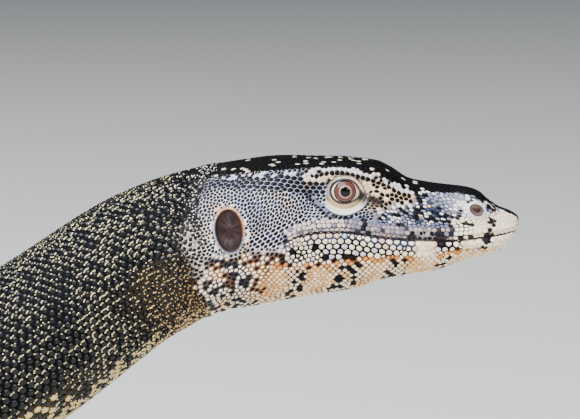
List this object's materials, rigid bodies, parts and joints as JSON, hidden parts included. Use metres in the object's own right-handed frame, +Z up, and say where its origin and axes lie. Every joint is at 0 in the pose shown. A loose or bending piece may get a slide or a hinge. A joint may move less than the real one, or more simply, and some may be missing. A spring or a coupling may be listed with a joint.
{
  "type": "water monitor lizard",
  "caption": "Life-size still model of a resting water monitor lizard, head held level on a raised neck, belly and long tail on the floor.",
  "frame": {"origin": "on the floor at the centre of the flat on which the belly rests", "axes": "+X the way the head points, +Y the animal's left, +Z up"},
  "size_m": [1.4631, 0.3419, 0.1588],
  "materials": {
    "head_skin": "small smooth scales, near-black crown, pale and blue-grey cheeks, cream lips with dark bars, damp satin",
    "body_skin": "glossy bead-like black scales ringed by fine pale yellow granules, yellow spots in rows, cream belly",
    "limb_skin": "small dark scales with scattered yellow spots, satin",
    "eye": "wet gloss over a red-brown iris with a round black pupil",
    "eardrum": "thin taut brown membrane, semi-gloss",
    "claw": "dark brown horn, semi-gloss, worn paler at the tip"
  },
  "bodies": {
    "root": {"head": "head_skin", "lower_jaw": "head_skin", "eye_right": "eye", "eye_left": "eye", "eardrum_right": "eardrum", "eardrum_left": "eardrum", "neck": "body_skin", "chest": "body_skin", "belly": "body_skin", "hips": "body_skin", "tail_1": "body_skin", "tail_2": "body_skin", "tail_3": "body_skin", "tail_4": "body_skin", "tail_5": "body_skin", "upper_arm_right": "limb_skin", "forearm_right": "limb_skin", "hand_right": "limb_skin", "upper_arm_left": "limb_skin", "forearm_left": "limb_skin", "hand_left": "limb_skin", "thigh_right": "limb_skin", "shin_right": "limb_skin", "foot_right": "limb_skin", "thigh_left": "limb_skin", "shin_left": "limb_skin", "foot_left": "limb_skin", "claw_hand_right_1": "claw", "claw_hand_right_2": "claw", "claw_hand_right_3": "claw", "claw_hand_right_4": "claw", "claw_hand_right_5": "claw", "claw_hand_left_1": "claw", "claw_hand_left_2": "claw", "claw_hand_left_3": "claw", "claw_hand_left_4": "claw", "claw_hand_left_5": "claw", "claw_foot_right_1": "claw", "claw_foot_right_2": "claw", "claw_foot_right_3": "claw", "claw_foot_right_4": "claw", "claw_foot_right_5": "claw", "claw_foot_left_1": "claw", "claw_foot_left_2": "claw", "claw_foot_left_3": "claw", "claw_foot_left_4": "claw", "claw_foot_left_5": "claw"}
  },
  "joints": []
}
